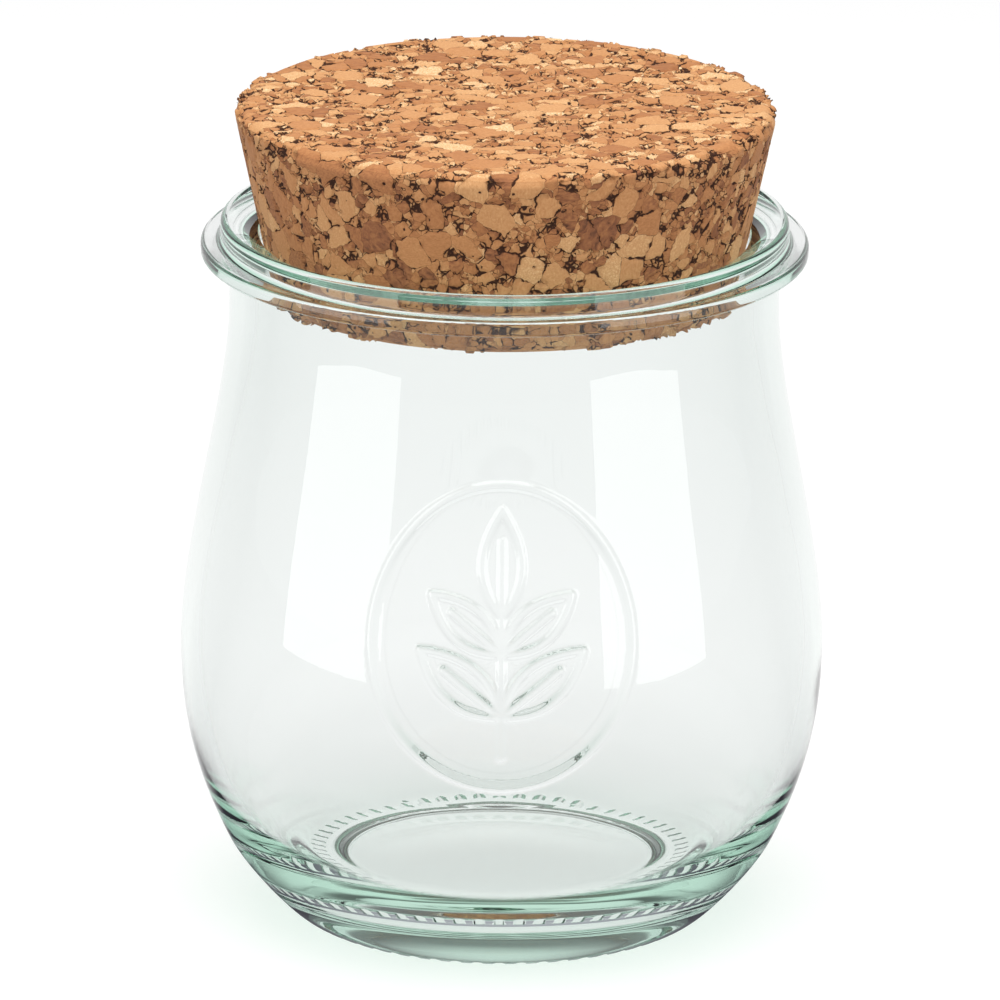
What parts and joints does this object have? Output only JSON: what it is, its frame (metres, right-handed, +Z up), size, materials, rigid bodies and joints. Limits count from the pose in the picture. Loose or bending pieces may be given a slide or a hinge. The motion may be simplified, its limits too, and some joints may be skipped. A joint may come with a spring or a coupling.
{
  "type": "glass jar with cork lid",
  "caption": "Small tulip-shaped glass jar with a flanged rim and a tapered cork stopper that pulls out of its mouth.",
  "frame": {"origin": "centre of the flat standing ring under the jar, on its axis", "axes": "+Z up along the jar's axis, through the middle of the cork; -Y faces the viewer"},
  "size_m": [0.0722, 0.0722, 0.093],
  "materials": {
    "jar_glass": "clear pressed glass with a faint green tint that deepens where the glass is thick",
    "cork": "bonded cork grains, dry and matt, with small dark pits and chipped edges"
  },
  "bodies": {
    "jar": {"jar_body": "jar_glass"},
    "cork": {"cork_lid": "cork"}
  },
  "joints": [
    {"name": "cork_lift", "type": "slide", "parent": "jar", "child": "cork", "axis": [0, 0, 1], "range_m": [0, 0.04]}
  ]
}
